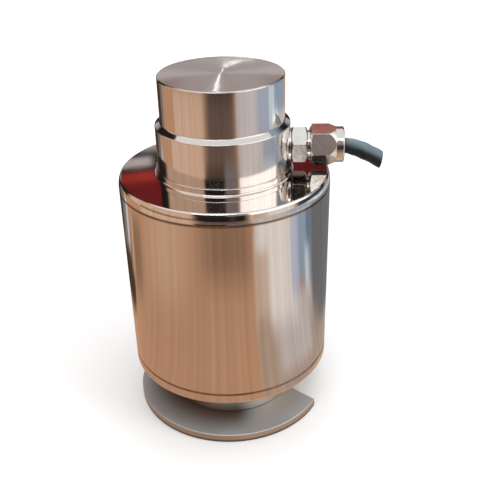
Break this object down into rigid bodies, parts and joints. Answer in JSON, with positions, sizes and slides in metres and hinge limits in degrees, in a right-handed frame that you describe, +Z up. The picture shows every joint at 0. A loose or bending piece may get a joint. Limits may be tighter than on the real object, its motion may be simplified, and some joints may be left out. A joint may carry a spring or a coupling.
{
  "type": "strain gauge load cell",
  "caption": "Column compression load cell: round polished housing on a notched bearing plate, turned loading head above it, and a hexagonal cable gland with a short cable stub.",
  "frame": {"origin": "centre of the bearing plate's underside, on the column's axis", "axes": "+Z up along the column, +X along the cable gland, away from the column"},
  "size_m": [0.1501, 0.12, 0.2069],
  "materials": {
    "polished_steel": "turned and mirror-polished stainless steel",
    "plate_steel": "satin stainless steel",
    "gland_plating": "bright nickel-plated brass",
    "black_rubber": "matt moulded rubber",
    "black_plastic": "moulded nylon",
    "cable_jacket": "satin extruded jacket, dark blue-grey",
    "gauge_foil": "amber film carrying foil",
    "copper_ribbon": "tinned copper",
    "board_laminate": "glass-cloth laminate",
    "spacer_brass": "turned brass",
    "core_red": "extruded insulation",
    "core_black": "extruded insulation",
    "core_green": "extruded insulation",
    "core_white": "extruded insulation"
  },
  "bodies": {
    "root": {"spring_element": "polished_steel", "top_cover": "polished_steel", "housing_tube": "polished_steel", "bottom_cover": "polished_steel", "base_plate": "plate_steel", "gland_washer": "gland_plating", "gland_body": "gland_plating", "gland_nut": "gland_plating", "gland_seal": "black_rubber", "gland_claw": "black_plastic", "cable": "cable_jacket", "axial_gauge_1": "gauge_foil", "axial_gauge_2": "gauge_foil", "axial_gauge_3": "gauge_foil", "axial_gauge_4": "gauge_foil", "transverse_gauge_1": "gauge_foil", "transverse_gauge_2": "gauge_foil", "transverse_gauge_3": "gauge_foil", "transverse_gauge_4": "gauge_foil", "gauge_leads": "copper_ribbon", "terminal_board": "board_laminate", "board_spacers": "spacer_brass", "board_screws": "plate_steel", "board_lands": "copper_ribbon", "trim_resistors": "black_plastic", "core_red": "core_red", "core_black": "core_black", "core_green": "core_green", "core_white": "core_white"}
  },
  "joints": []
}
